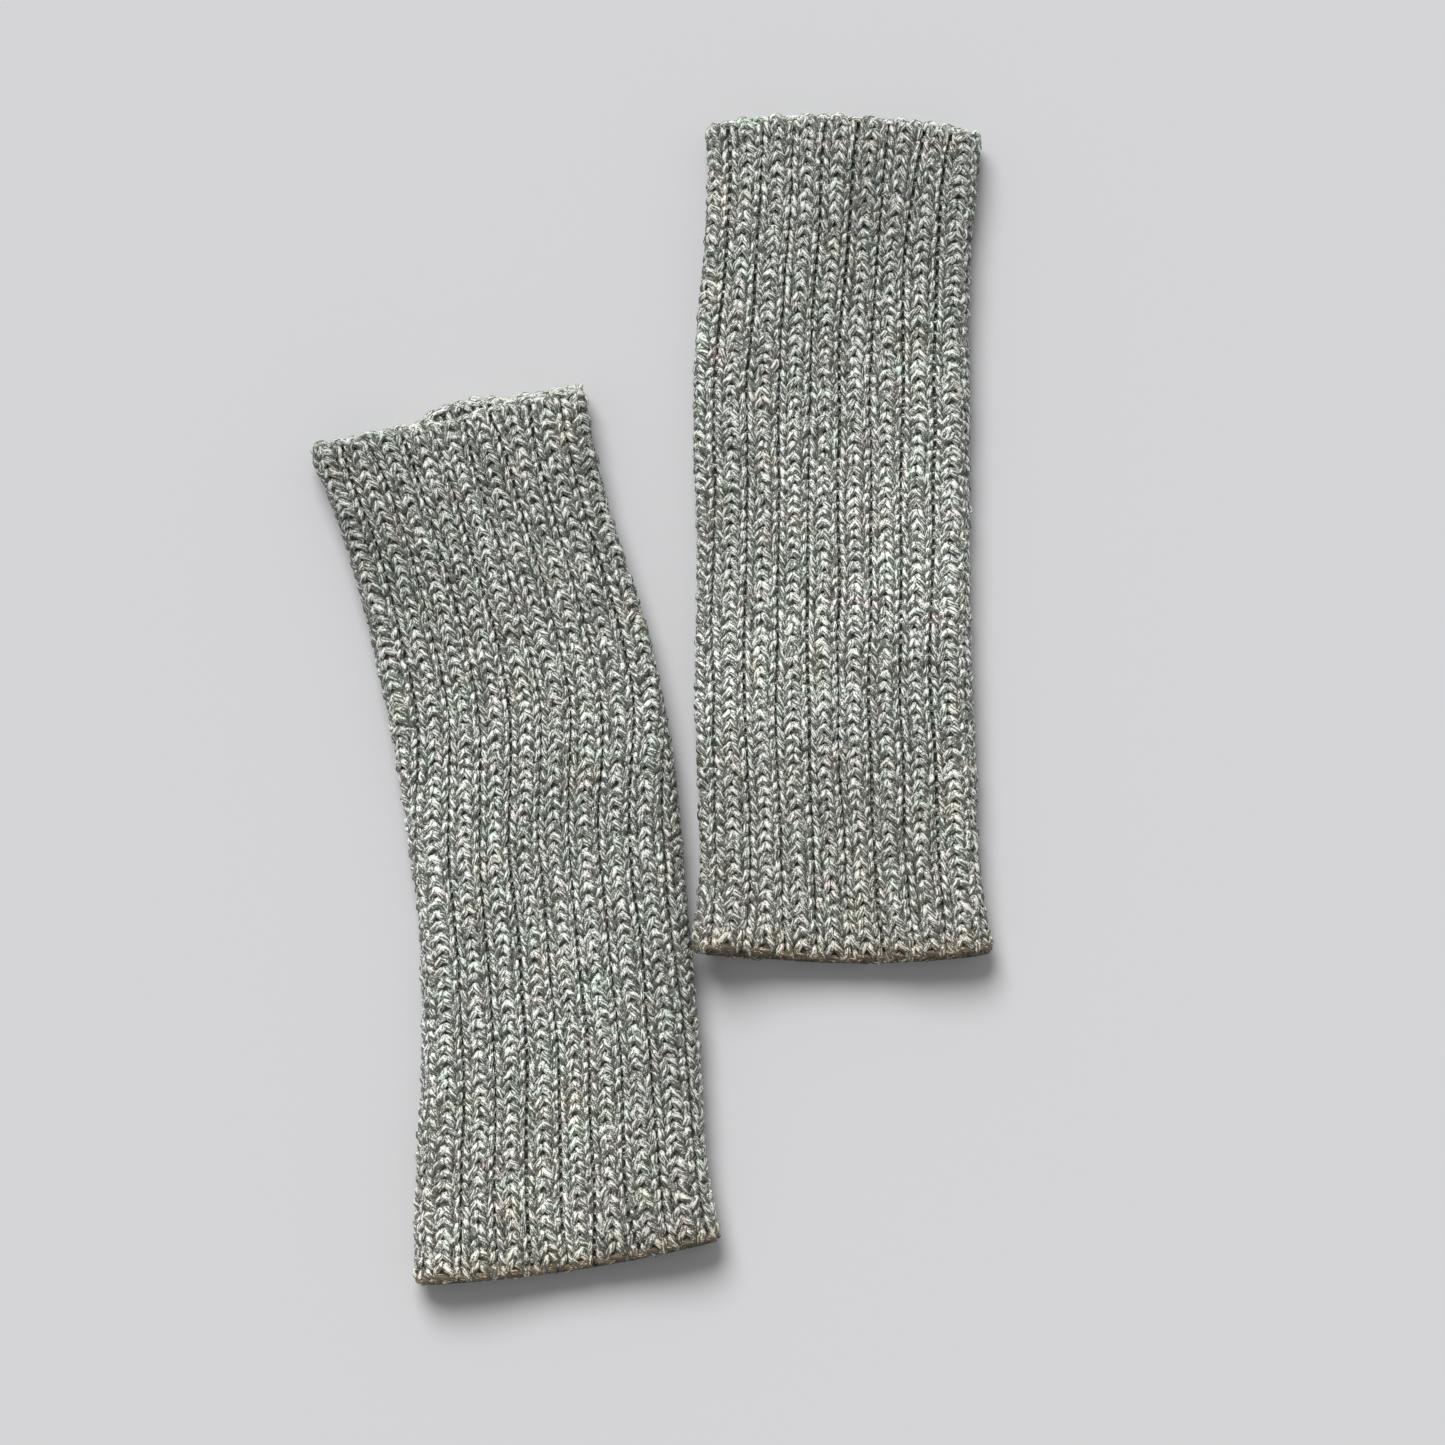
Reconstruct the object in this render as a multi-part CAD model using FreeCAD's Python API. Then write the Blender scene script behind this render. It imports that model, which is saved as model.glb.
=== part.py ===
"""A pair of knitted fingerless gloves (wrist warmers), lying flat side by side.

Each glove is one flattened, open-ended tube of 2x2 ribbing. It is cast on at its lower end
(-Y), knitted upwards and bound off at its upper end (+Y). The start and the end of the yarn
are woven into the inside of the fabric as short tails.

Frame: the gloves lie on Z = 0. X runs across the pair, Y along the ribs, Z up. The origin is
the centre of the pair's footprint, on the surface that the gloves lie on. Units: millimetres.
"""
import FreeCAD, Part
import os

from FreeCAD import Vector

# ---- driving dimensions ------------------------------------------------------------------
FABRIC = 5.5                # thickness of one layer of closed-up 2x2 ribbing
HAND_GAP = 5.0              # free height between the two layers, where the hand goes
THICKNESS = 2 * FABRIC + HAND_GAP
FOLD_RADIUS = THICKNESS / 2 - 0.1     # outside of the two long folds
GAP_RADIUS = HAND_GAP / 2 - 0.1       # inside of the two long folds
EDGE_BAND = 4.0             # length of the cast-on chain and of the bind-off chain
YARN = 2.0                  # diameter of the two-ply yarn
TAIL_LENGTH = 46.0          # woven-in end, along the ribs
TAIL_INSET = 7.0            # from the end of the glove to the near end of its tail
TAIL_PROUD = 0.1            # height of a tail above the inner face that holds it
BEYOND = 12.0               # how far cutting solids run past the ends of a glove

# Plan outline of each glove. A side runs from the cast-on corner to the bind-off corner, and
# a bow is how far the middle of an end curves outwards.
LEFT_GLOVE = {
    "left_side": [(-69.1, -174), (-69.3, -154), (-67.4, -112), (-67.7, -78), (-72.9, -33),
                  (-82.3, 15), (-90.4, 45), (-102.6, 76)],
    "right_side": [(22.6, -160.5), (18, -139), (15.8, -105), (13.2, -74), (8.9, -28),
                   (1.3, 18), (-10, 54), (-18.4, 94.5)],
    "cast_on_bow": 2.4,
    "bind_off_bow": 0.6,
}
RIGHT_GLOVE = {
    "left_side": [(14.3, -74.2), (15.2, -40), (13.6, 5), (14.4, 42), (13, 84),
                  (15.8, 132), (17.3, 154), (16.4, 173.9)],
    "right_side": [(103.4, -75.6), (99.2, -52), (97.7, -18), (96.3, 32), (96.6, 84),
                   (96.8, 132), (98.5, 152), (100.9, 170.6)],
    "cast_on_bow": 3.4,
    "bind_off_bow": 5.1,
}


def at(point, z=0.0):
    """A plan point (x, y) at a height."""
    return Vector(point[0], point[1], z)


def spline(points, z):
    """The smooth curve through a side's points."""
    curve = Part.BSplineCurve()
    curve.interpolate([at(p, z) for p in points])
    return curve


def bowed_edge(start, end, bow, z):
    """An end of a glove: an arc whose middle stands out by bow, to the right of start-end."""
    along = at(end) - at(start)
    outwards = Vector(along.y, -along.x, 0).normalize()
    middle = at(start, z) + along * 0.5 + outwards * bow
    return Part.Arc(at(start, z), middle, at(end, z)).toShape()


def outer_solid(glove):
    """The flattened tube as if it were full, with its long folds rounded."""
    left = spline(glove["left_side"], 0).toShape()
    right = spline(glove["right_side"], 0).toShape()
    lower = bowed_edge(glove["left_side"][0], glove["right_side"][0], glove["cast_on_bow"], 0)
    upper = bowed_edge(glove["right_side"][-1], glove["left_side"][-1],
                       glove["bind_off_bow"], 0)
    outline = Part.Wire([lower, right, upper, left])
    block = Part.Face(outline).extrude(Vector(0, 0, THICKNESS))
    return block.makeFillet(FOLD_RADIUS, long_edges(block))


def long_edges(block):
    """The edges of a block that run along the ribs, at its top and at its bottom."""
    heights = {round(vertex.Point.z, 3) for vertex in block.Vertexes}
    found = []
    for edge in block.Edges:
        box = edge.BoundBox
        level = round(box.ZMin, 3) in heights and box.ZLength < 0.01
        if level and box.YLength > box.XLength:
            found.append(edge)
    return found


def run_past(points):
    """A side's points, carried on straight past both ends of the glove."""
    def beyond(end, before):
        step = (at(end) - at(before)).normalize() * BEYOND
        return (end[0] + step.x, end[1] + step.y)

    return [beyond(points[0], points[1])] + points[1:-1] + [beyond(points[-1], points[-2])]


def hand_space(glove):
    """The space between the two layers, running out past both ends."""
    left = run_past([(x + FABRIC, y) for x, y in glove["left_side"]])
    right = run_past([(x - FABRIC, y) for x, y in glove["right_side"]])
    sides = [spline(left, FABRIC).toShape(), spline(right, FABRIC).toShape()]
    ends = [Part.makeLine(at(left[0], FABRIC), at(right[0], FABRIC)),
            Part.makeLine(at(right[-1], FABRIC), at(left[-1], FABRIC))]
    outline = Part.Wire([ends[0], sides[1], ends[1], sides[0]])
    block = Part.Face(outline).extrude(Vector(0, 0, HAND_GAP))
    return block.makeFillet(GAP_RADIUS, long_edges(block))


def end_slab(start, end, bow):
    """A slab that holds everything within EDGE_BAND of one end of a glove."""
    along = (at(end) - at(start)).normalize()
    inwards = Vector(-along.y, along.x, 0)
    first = at(start) + inwards * EDGE_BAND - along * BEYOND
    last = at(end) + inwards * EDGE_BAND + along * BEYOND
    arc = bowed_edge((first.x, first.y), (last.x, last.y), bow, -1)
    corners = [arc.Vertexes[1].Point, arc.Vertexes[1].Point - inwards * 3 * BEYOND,
               arc.Vertexes[0].Point - inwards * 3 * BEYOND, arc.Vertexes[0].Point]
    lines = [Part.makeLine(a, b) for a, b in zip(corners, corners[1:])]
    outline = Part.Wire([arc] + lines)
    return Part.Face(outline).extrude(Vector(0, 0, THICKNESS + 2))


def woven_tail(glove, end, share):
    """A yarn end, laid along a rib in the lower layer's inner face.

    end is 0 at the cast-on and -1 at the bind-off, and share says how far across the glove
    the tail lies, from 0 at its left side to 1 at its right side.
    """
    def across(index):
        left = at(glove["left_side"][index])
        right = at(glove["right_side"][index])
        return left + (right - left) * share

    inwards = (across(1 if end == 0 else -2) - across(end)).normalize()
    start = across(end) + inwards * TAIL_INSET
    start.z = FABRIC - YARN / 2 + TAIL_PROUD
    rod = Part.makeCylinder(YARN / 2, TAIL_LENGTH, start, inwards)
    tips = [Part.makeSphere(YARN / 2, start),
            Part.makeSphere(YARN / 2, start + inwards * TAIL_LENGTH)]
    return rod.fuse(tips).removeSplitter()


def make_glove(name, glove):
    """The pieces of one glove, by node name."""
    tube = outer_solid(glove).cut(hand_space(glove))
    cast_on_slab = end_slab(glove["left_side"][0], glove["right_side"][0],
                            glove["cast_on_bow"])
    bind_off_slab = end_slab(glove["right_side"][-1], glove["left_side"][-1],
                             glove["bind_off_bow"])
    start_tail = woven_tail(glove, 0, 0.36)
    end_tail = woven_tail(glove, -1, 0.64)
    body = tube.cut(cast_on_slab).cut(bind_off_slab).cut(start_tail).cut(end_tail)
    return {
        name + "_ribbed_tube": body,
        name + "_cast_on_edge": tube.common(cast_on_slab),
        name + "_bind_off_edge": tube.common(bind_off_slab),
        name + "_cast_on_tail": start_tail,
        name + "_bind_off_tail": end_tail,
    }


def main():
    pieces = {}
    pieces.update(make_glove("left_glove", LEFT_GLOVE))
    pieces.update(make_glove("right_glove", RIGHT_GLOVE))

    box = FreeCAD.BoundBox()
    for shape in pieces.values():
        box.add(shape.optimalBoundingBox(False))
    to_origin = Vector(-box.Center.x, -box.Center.y, -box.ZMin)

    os.makedirs("parts", exist_ok=True)
    for name, shape in pieces.items():
        shape = shape.Solids[0] if len(shape.Solids) == 1 else shape
        shape.translate(to_origin)
        shape.exportStep("parts/" + name + ".step")
        size = shape.BoundBox
        print(f"{name}: solids {len(shape.Solids)}, valid {shape.isValid()}, "
              f"{shape.Volume / 1000:.2f} cm3, X {size.XMin:.2f} {size.XMax:.2f}, "
              f"Y {size.YMin:.2f} {size.YMax:.2f}, Z {size.ZMin:.2f} {size.ZMax:.2f}")
    print(f"pair: {box.XLength:.2f} x {box.YLength:.2f} x {box.ZLength:.2f}, "
          f"moved by {to_origin.x:.3f} {to_origin.y:.3f}")
    left = pieces["left_glove_ribbed_tube"]
    for piece in ("ribbed_tube", "cast_on_edge"):
        gap = left.distToShape(pieces["right_glove_" + piece])[0]
        print(f"left tube to right {piece}: {gap:.2f} mm")


main()
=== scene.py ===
"""A pair of ribbed, knitted fingerless gloves, knitted stitch by stitch around the CAD frame.

Every course of each glove is made of real yarn loops: 2x2 ribbing, where two knit stitches
stand on the outside of the tube and the next two on its inside, close behind them. The loops
are laid out on a flat sheet, swept into round yarn, and wrapped around the flattened tube that
the CAD holds.

Flat coordinates, in metres: x runs around the tube from a gutter near its left fold, over the
top to the right and back underneath, y runs along the ribs from the cast-on, and z outwards
from the middle of the fabric.
"""
import math

import bpy
import numpy as np
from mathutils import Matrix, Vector


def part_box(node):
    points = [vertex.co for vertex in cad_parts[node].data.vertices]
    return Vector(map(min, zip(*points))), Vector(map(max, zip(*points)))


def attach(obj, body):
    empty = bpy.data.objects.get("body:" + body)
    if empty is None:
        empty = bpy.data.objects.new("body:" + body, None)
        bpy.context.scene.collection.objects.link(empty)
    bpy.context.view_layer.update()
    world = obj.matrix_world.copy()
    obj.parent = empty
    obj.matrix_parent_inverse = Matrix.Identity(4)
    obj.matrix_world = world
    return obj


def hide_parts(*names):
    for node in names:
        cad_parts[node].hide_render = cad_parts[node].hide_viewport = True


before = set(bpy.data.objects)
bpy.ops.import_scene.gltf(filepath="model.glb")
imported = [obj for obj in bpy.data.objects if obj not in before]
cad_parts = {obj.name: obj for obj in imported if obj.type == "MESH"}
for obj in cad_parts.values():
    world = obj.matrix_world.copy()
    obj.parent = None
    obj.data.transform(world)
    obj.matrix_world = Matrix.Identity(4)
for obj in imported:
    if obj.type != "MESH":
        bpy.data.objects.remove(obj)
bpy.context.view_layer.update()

MM = 0.001

# ---- the knitting ------------------------------------------------------------------------
RIBS = 18                   # ribs around one glove, of two stitches each outside and inside
COURSES = 75                # rounds of knitting between the cast-on and the bind-off
FABRIC = 5.5 * MM           # thickness of one layer of ribbing
CAST_ON = 2.0 * MM          # height of the cast-on edge, below the first course
BIND_OFF = 2.4 * MM         # height of the bind-off edge, above the last course
YARN = 1.02 * MM            # radius of the yarn
YARN_SWELL = 0.10           # how much thicker it is in a leg than where it is gripped
LOOP_RISE = 2.20 * MM       # half the height of a loop
LOOP_SPREAD = 1.36 * MM     # how far a loop's shoulders stand out from upright legs
EDGE_SPREAD = 0.66          # share of that spread which the legs beside a gutter have
LOOP_TILT = 0.80 * MM       # how much lower a leg beside a gutter is, and the other leg higher
LOOP_DEPTH = 0.90 * MM      # how far legs stand in front of heads, each way from the middle
RIB_DEPTH = 1.05 * MM       # from the middle of the fabric to the middle of a rib's loops
RIB_FILL = 0.97             # share of the rib pitch that its two stitches take
RIB_ROUND = 0.55 * MM       # how much lower a rib's two sides are than its middle
GUTTER_IN = 5.9 * MM        # from the middle of the left fold to the first gutter, on top
INNER_GAP = 0.16 * MM       # half the gap between two inside ribs
PINCH = 0.25 * MM           # how much half a gutter's width varies along it
WIDEST_GAP = 0.55 * MM      # most that half a gutter's width comes to
TIGHTEST_GAP = -0.05 * MM   # least that it comes to, where two ribs are pressed together
DRIFT = 0.34 * MM           # how much a gutter wanders sideways
FOLD_GAP = 0.08 * MM        # how much further a gutter opens on a fold
PRESSED = 0.12              # share of its overhang that yarn keeps where two ribs press together
OUTER_SAMPLES, OUTER_SIDES, OUTER_GROUPS = 14, 8, 6     # along a stitch, round the yarn, pieces
INNER_SAMPLES, INNER_SIDES, INNER_GROUPS = 10, 5, 2
HIGHLIGHT_AT, HIGHLIGHT_HALF = 1.12, 0.74       # angle along a loop where a leg gets its painted highlight, on its upper part, where light from above falls
EDGE_HIGHLIGHT = 0.68           # share of that painted highlight which the legs beside a gutter have: they are painted duller, as shaded
CROSS_FROM = 0.62           # share of a loop's half turn after which its yarn goes to the other side
CROSS_LOW = 0.9             # how far below the course's middle it does, as a share of LOOP_RISE
PLY_TWIST = 24 * MM         # length of one full turn of the yarn's plies
CLEAR = 0.03 * MM           # between the lowest yarn and the surface that the gloves lie on
SAG = 2.2 * MM              # how far the middle of the upper layer sinks
DROOP, DROOP_RUN = 2.4 * MM, 11 * MM    # how far it sinks again at its ends, and over what length

# how much the stitches vary at random: shares of their size or of a course, and distances
UNEVEN = {
    "spread": 0.14, "rise": 0.09, "course": 0.09, "thickness": 0.06,
    "sideways": 0.10 * MM, "skew": 0.12 * MM, "slant": 0.16 * MM,
    "out": 0.16 * MM, "roll": 0.14 * MM,
}

# ---- the edges -----------------------------------------------------------------------------
CORD_YARN = 0.84 * MM       # radius of each of the cast-on cord's two strands
CORD_TURN = 0.62 * MM       # from the middle of that cord to the middle of a strand
CORD_AT = 2.05 * MM         # from the end of the glove to the middle of that cord
CHAIN_YARN = 0.88 * MM      # radius of the yarn in the bind-off chain
EDGE_IN_OUT = 0.95 * MM     # how far the edges run in and out with the ribs


# ---- the shape of a flattened glove, read from the frame -----------------------------------
def world_points(nodes):
    """All corner points and edges of the CAD nodes, as two arrays."""
    points, edges, count = [], [], 0
    for node in nodes:
        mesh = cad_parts[node].data
        co = np.empty(len(mesh.vertices) * 3)
        mesh.vertices.foreach_get("co", co)
        pair = np.empty(len(mesh.edges) * 2, dtype=np.int64)
        mesh.edges.foreach_get("vertices", pair)
        points.append(co.reshape(-1, 3))
        edges.append(pair.reshape(-1, 2) + count)
        count += len(mesh.vertices)
    return np.concatenate(points), np.concatenate(edges)


def smoothed(rows, rounds):
    """An array, smoothed from row to row, with its first and last rows kept."""
    for _ in range(rounds):
        rows[1:-1] = 0.25 * rows[:-2] + 0.5 * rows[1:-1] + 0.25 * rows[2:]
    return rows


def evened(line, count):
    """A polyline as count points, evenly spaced and lightly smoothed, with its ends kept."""
    for _ in range(3):
        step = np.linalg.norm(np.diff(line, axis=0), axis=1)
        length = np.concatenate([[0], np.cumsum(step)])
        at = np.linspace(0, length[-1], count)
        line = np.stack([np.interp(at, length, line[:, k]) for k in range(2)], axis=1)
        line = smoothed(line, 1)
    return line


CUTS = 60                   # levels at which a glove's width is measured


def outline(nodes, count):
    """The left and right sides of a glove in plan, each from the cast-on to the bind-off, and
    how far the middles of its two ends curve outwards."""
    points, edges = world_points(nodes)
    x, y = points[:, 0], points[:, 1]
    corner = {
        ("left", "low"): points[np.argmin(x + y)],
        ("right", "low"): points[np.argmax(x - y)],
        ("left", "high"): points[np.argmin(x - y)],
        ("right", "high"): points[np.argmax(x + y)],
    }
    sides = {}
    for side, pick in (("left", np.min), ("right", np.max)):
        low, high = corner[side, "low"], corner[side, "high"]
        line = [low[:2]]
        for level in np.linspace(low[1], high[1], CUTS + 2)[1:-1]:
            a, b = points[edges[:, 0]], points[edges[:, 1]]
            cross = (a[:, 1] - level) * (b[:, 1] - level) < 0
            a, b = a[cross], b[cross]
            share = (level - a[:, 1]) / (b[:, 1] - a[:, 1])
            line.append((pick(a[:, 0] + share * (b[:, 0] - a[:, 0])), level))
        line.append(high[:2])
        sides[side] = evened(np.array(line), count)
    bows = []
    for end, sign in ((0, -1), (-1, 1)):
        left, right = sides["left"][end], sides["right"][end]
        across = (right - left) / np.linalg.norm(right - left)
        outwards = sign * np.array([-across[1], across[0]])
        bows.append(float(np.max((points[:, :2] - left) @ outwards)))
    return sides["left"], sides["right"], bows


def smooth_step(x):
    x = np.clip(x, 0, 1)
    return x * x * (3 - 2 * x)


def hump(x, centre, half_width):
    """A smooth bump, 1 at its centre and 0 from half_width away."""
    return smooth_step(1 - np.abs(x - centre) / half_width)


class Tube:
    """The middle surface of one glove's fabric, as a grid of points and outward normals. lie
    says how the glove lies, as LEFT_LIE and RIGHT_LIE do."""

    AROUND = 12 * RIBS       # grid steps around
    ALONG = 80               # grid steps from end to end
    BEYOND = 4               # grid steps that it runs on past each end

    def __init__(self, name, seed, lie):
        self.nodes = [f"{name}_{part}" for part in ("ribbed_tube", "cast_on_edge",
                                                    "bind_off_edge")]
        low, high = (np.array(corner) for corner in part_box(self.nodes[0]))
        self.height = high[2] - low[2]
        self.floor = low[2]
        self.random = np.random.default_rng(seed)
        self.lie = lie
        left, right, bows = outline(self.nodes, self.ALONG + 1)
        rows = np.arange(-self.BEYOND, self.ALONG + self.BEYOND + 1)
        left, right = self.run_on(left), self.run_on(right)
        across = right - left
        self.width = np.linalg.norm(across, axis=1)
        self.step = np.linalg.norm(np.diff(0.5 * (left + right), axis=0), axis=1).mean()
        self.length = self.step * self.ALONG
        self.across = across / self.width[:, None]
        self.middle = 0.5 * (left + right)
        self.share = rows / self.ALONG
        near = 0.16          # share of the length over which an end's curve dies away
        share = np.clip(self.share, 0, 1)
        self.bow = (bows[1] * smooth_step(1 - (1 - share) / near)
                    - bows[0] * smooth_step(1 - share / near))
        self.phases = self.random.uniform(0, 2 * math.pi, 4)
        self.build()
        self.course = (self.length - CAST_ON - BIND_OFF) / COURSES
        self.make_gutters()

    def run_on(self, side):
        """A side of the outline, carried straight on past both of its ends."""
        steps = np.arange(1, self.BEYOND + 1)[:, None]
        before = side[0] - steps[::-1] * (side[3] - side[0]) / 3
        after = side[-1] + steps * (side[-1] - side[-4]) / 3
        return np.concatenate([before, side, after])

    def section(self, width):
        """The closed middle line of a flattened tube this wide, as AROUND points (x, z), and
        how much each lies in a fold, from 0 to 1."""
        fold = (self.height - FABRIC) / 2
        flat = width - FABRIC - 2 * fold
        round_it = 2 * flat + 2 * math.pi * fold
        at = (GUTTER_IN + np.arange(self.AROUND) / self.AROUND * round_it) % round_it
        quarter = math.pi * fold / 2
        # lengths around at which the left fold, top, right fold, bottom and left fold end
        ends = np.cumsum([quarter, flat, 2 * quarter, flat, quarter])
        part = np.searchsorted(ends, at, side="right").clip(0, 4)
        angle = np.select(
            [part == 0, part == 2, part == 4],
            [math.pi - at / fold, math.pi / 2 - (at - ends[1]) / fold,
             -math.pi / 2 - (at - ends[3]) / fold], 0.0)
        sign = np.where(part == 2, 1, -1)
        x = sign * flat / 2 + fold * np.cos(angle)
        z = fold * np.sin(angle)
        on_top, below = part == 1, part == 3
        x = np.where(on_top, at - quarter - flat / 2, x)
        x = np.where(below, flat / 2 - (at - ends[2]), x)
        z = np.where(on_top, fold, np.where(below, -fold, z))
        return x, z, ((part == 0) | (part == 2) | (part == 4)).astype(float)

    def build(self):
        count = len(self.width)
        self.points = np.empty((count, self.AROUND, 3))
        for r in range(count):
            x, z, folded = self.section(self.width[r])
            if r == count // 2:
                self.folded = folded
            edge = 2 * x / self.width[r]
            top = smooth_step(0.5 + z / self.height)
            inside = 1 - smooth_step(np.abs(edge) * 1.15)       # 1 in the middle, 0 at a fold
            to_end = min(self.share[r], 1 - self.share[r]) * self.length
            droop = DROOP * np.clip(1 - to_end / DROOP_RUN, 0, 1) ** 2
            sag = (SAG + droop - self.waves(edge, self.share[r])) * inside * top
            aside, ahead, up = self.lie["settle"](edge, self.share[r], 1 - top)
            along = np.array([-self.across[r, 1], self.across[r, 0]])
            ahead = ahead + self.bow[r] * (1 - edge ** 2)
            self.points[r, :, :2] = (self.middle[r] + (x + aside)[:, None] * self.across[r]
                                     + ahead[:, None] * along)
            self.points[r, :, 2] = self.floor + self.height / 2 + z - sag + up
        around = np.roll(self.points, -1, axis=1) - np.roll(self.points, 1, axis=1)
        upwards = np.gradient(self.points, axis=0)
        normal = np.cross(around, upwards)
        self.normals = normal / np.linalg.norm(normal, axis=2, keepdims=True)
        self.pitch = np.linalg.norm(around, axis=2).sum(axis=1).mean() / 2 / RIBS

    def waves(self, edge, share):
        """Slow, shallow waves in the upper layer, as limp knitting has where it lies."""
        height = 0
        for k, (across, along, size) in enumerate(((1.1, 2.6, 0.45), (2.3, 1.2, 0.30),
                                                   (0.6, 4.7, 0.35), (3.1, 5.3, 0.20))):
            height = height + size * np.sin(math.pi * (across * edge + along * share)
                                            + self.phases[k])
        return height * MM

    def place(self, flat):
        """Flat points, wrapped around the glove."""
        around = flat[..., 0] + self.lie["twist"](flat[..., 1] / self.length)
        a = (around / self.pitch / RIBS * self.AROUND) % self.AROUND
        a0 = np.floor(a).astype(int) % self.AROUND
        a1 = (a0 + 1) % self.AROUND
        fa = (a - np.floor(a))[..., None]
        r = np.clip(flat[..., 1] / self.step + self.BEYOND, 0, len(self.width) - 1.001)
        r0 = np.floor(r).astype(int)
        fr = (r - r0)[..., None]

        def look(grid):
            low = grid[r0, a0] * (1 - fa) + grid[r0, a1] * fa
            high = grid[r0 + 1, a0] * (1 - fa) + grid[r0 + 1, a1] * fa
            return low * (1 - fr) + high * fr

        normal = look(self.normals)
        normal /= np.linalg.norm(normal, axis=-1, keepdims=True)
        world = look(self.points) + normal * flat[..., 2:]
        world[..., 2] = np.maximum(world[..., 2], self.floor + CLEAR)
        return world

    def make_gutters(self):
        """Where each gutter runs, and half its width, for every course."""
        drift = smoothed(self.wander((COURSES, RIBS), 1.0), 14)
        pinch = smoothed(self.wander((COURSES, RIBS), 1.0), 50)
        drift *= DRIFT / drift.std()
        pinch *= PINCH / pinch.std()
        folded = self.folded[::self.AROUND // RIBS]
        self.gutters = np.arange(RIBS) * self.pitch + drift
        along = np.linspace(0, 1, COURSES)
        at_cast_on, at_bind_off = self.lie["gutter_gap"]
        gap = np.repeat((at_cast_on * (1 - along) + at_bind_off * along)[:, None], RIBS, axis=1)
        # how little the width varies: less on a fold, and where a gutter stands open
        steady = np.repeat(0.7 * folded[None], COURSES, axis=0)
        for gutter, first, last, wider in self.lie["open_gutters"]:
            stretch = hump(along, (first + last) / 2, (last - first) / 2)
            opened = np.minimum(1, 2 * stretch)
            gap[:, gutter] += wider * opened
            steady[:, gutter] = np.maximum(steady[:, gutter], 0.8 * opened)
        self.gaps = np.clip(gap + FOLD_GAP * folded + pinch * (1 - steady),
                            TIGHTEST_GAP, WIDEST_GAP)

    def rib_sides(self, side):
        """The two sides of each rib and half the gap beside each, for every course. side is 1
        for the outside ribs and -1 for the inside ones, which stand between them."""
        round_it = RIBS * self.pitch
        left, left_gap = self.gutters, self.gaps
        right = np.concatenate([left[:, 1:], left[:, :1] + round_it], axis=1)
        right_gap = np.roll(left_gap, -1, axis=1)
        if side > 0:
            return left, right, left_gap, right_gap
        middle = 0.5 * (left + right)
        beyond = np.concatenate([middle[:, 1:], middle[:, :1] + round_it], axis=1)
        gap = np.full_like(middle, INNER_GAP)
        return middle, beyond, gap, gap

    def wander(self, shape, size, smooth=0):
        """Small random amounts, smoothed along the last axis."""
        amount = self.random.normal(0, size, shape)
        for _ in range(smooth):
            amount = (0.25 * np.roll(amount, 1, -1) + 0.5 * amount
                      + 0.25 * np.roll(amount, -1, -1))
        return amount


# ---- yarn ----------------------------------------------------------------------------------
def stitches(tube, side, samples):
    """The yarn of every course, as flat points (course, rib, point along its two stitches, 3),
    the radius at each point, and its painted highlight from 0 to 1, most near a leg's top."""
    angle = np.linspace(-math.pi, math.pi, samples + 1)[None, None, None, :]
    course = np.arange(COURSES)[:, None, None, None]
    which = np.array([-1, 1])[None, None, :, None]
    left, right, _, _ = (a[:, :, None, None] for a in tube.rib_sides(side))
    centre, half = 0.5 * (left + right), 0.5 * (right - left)
    width = RIB_FILL * half                 # of one stitch
    shape = (COURSES, RIBS, 2, 1)
    beside_gutter = which * angle > 0
    spread = (LOOP_SPREAD * (1 + tube.wander(shape, UNEVEN["spread"]))
              * np.where(beside_gutter, EDGE_SPREAD, 1))
    rise = LOOP_RISE * (1 + tube.wander(shape, UNEVEN["rise"]))
    x = (centre + which * width / 2 + width * angle / (2 * math.pi)
         + spread * np.sin(2 * angle) + tube.wander(shape, UNEVEN["sideways"])
         + tube.wander(shape, UNEVEN["skew"]) * np.sin(angle))
    y = (CAST_ON + (course + 0.5 + tube.wander(shape, UNEVEN["course"])) * tube.course
         + rise * np.cos(angle)
         + (tube.wander(shape, UNEVEN["slant"]) - which * LOOP_TILT) * np.sin(angle))
    lean = np.clip(np.abs(x - centre) / width, 0, 1.2)
    z = (RIB_DEPTH + tube.wander(shape, UNEVEN["out"]) - LOOP_DEPTH * np.cos(2 * angle)
         + tube.wander(shape, UNEVEN["roll"]) * np.sin(angle) - RIB_ROUND * lean ** 2)
    # the yarn's crossing between the outside and the inside of the fabric
    turn = smooth_step((which * angle / math.pi - CROSS_FROM) / (1 - CROSS_FROM))
    crossing = CAST_ON + (course + 0.5) * tube.course - CROSS_LOW * LOOP_RISE
    x = x * (1 - turn) + (centre + which * half / 2) * turn
    y = y * (1 - turn) + crossing * turn
    z = side * z * (1 - turn)
    radius = YARN * (1 + YARN_SWELL * (np.sin(angle) ** 2 - 0.5))
    radius = radius * (1 + tube.wander(shape, UNEVEN["thickness"]))
    # a rib's two stitches share the point where they meet, so one copy of it is left out
    keep = [k for k in range(2 * (samples + 1)) if k != samples]
    x, y, z, radius = (np.broadcast_to(a, x.shape).reshape(COURSES, RIBS, -1)[:, :, keep]
                       for a in (x, y, z, radius))
    # painted highlight, brightest near a leg's top; the legs beside a gutter get less of it than
    # those in the middle of a rib, as painted shade
    painted_highlight = (hump(np.abs(angle), HIGHLIGHT_AT, HIGHLIGHT_HALF)
             * np.where(beside_gutter, EDGE_HIGHLIGHT, 1))
    painted_highlight = np.broadcast_to(painted_highlight, shape[:3] + (samples + 1,)).reshape(COURSES, RIBS, -1)
    return np.stack([x, y, z], axis=-1), radius, painted_highlight[:, :, keep]


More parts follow.
